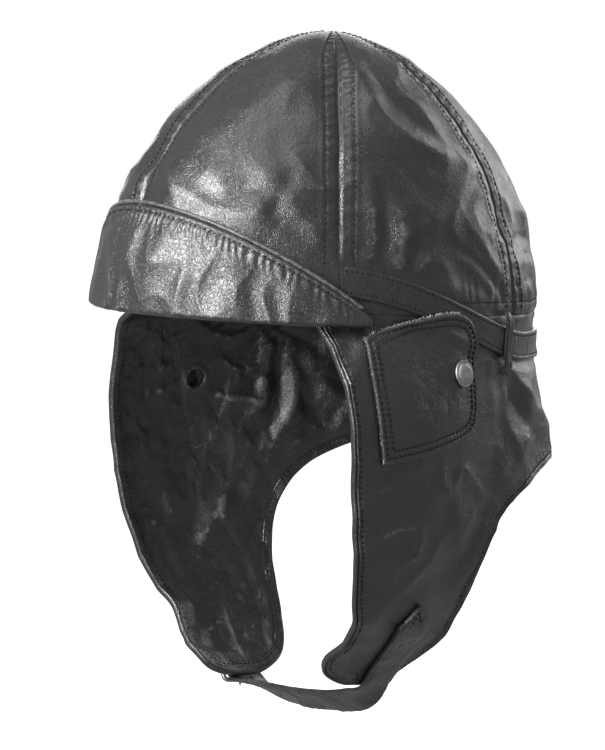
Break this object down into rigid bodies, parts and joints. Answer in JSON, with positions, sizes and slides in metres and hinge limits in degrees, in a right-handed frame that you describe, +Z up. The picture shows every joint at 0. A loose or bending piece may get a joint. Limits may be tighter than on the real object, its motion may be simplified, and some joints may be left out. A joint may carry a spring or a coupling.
{
  "type": "leather flying helmet",
  "caption": "Close-fitting leather helmet with a gored crown, turned-up peak, ear flaps round the nape, covered ear holes and a buckled chin strap.",
  "frame": {"origin": "centre of the brow oval, in the plane of the seam between crown and curtain, where a head fills it", "axes": "+Z up through the crown, -Y the way the face looks, +X the wearer's left"},
  "size_m": [0.188, 0.2269, 0.3033],
  "materials": {
    "helmet_leather": "worn gloss",
    "visor_leather": "worn gloss",
    "lining_leather": "creased satin",
    "tab_leather": "matt",
    "dull_nickel": "dull",
    "black_enamel": "satin"
  },
  "bodies": {
    "root": {"crown_panel_front_left": "helmet_leather", "crown_panel_side_left": "helmet_leather", "crown_panel_back_left": "helmet_leather", "crown_panel_back_right": "helmet_leather", "crown_panel_side_right": "helmet_leather", "crown_panel_front_right": "helmet_leather", "curtain_left": "helmet_leather", "curtain_lining_left": "lining_leather", "curtain_edge_left": "helmet_leather", "curtain_right": "helmet_leather", "curtain_lining_right": "lining_leather", "curtain_edge_right": "helmet_leather", "visor": "visor_leather", "visor_piping": "visor_leather", "belt_left": "helmet_leather", "belt_loop_left": "helmet_leather", "ear_cover_left": "helmet_leather", "ear_snap_left": "dull_nickel", "belt_right": "helmet_leather", "belt_loop_right": "helmet_leather", "ear_cover_right": "helmet_leather", "ear_snap_right": "dull_nickel", "back_tab": "tab_leather", "back_tab_snap": "black_enamel", "chin_strap": "helmet_leather", "buckle_frame": "dull_nickel", "buckle_prong": "dull_nickel", "buckle_tab": "helmet_leather"}
  },
  "joints": []
}
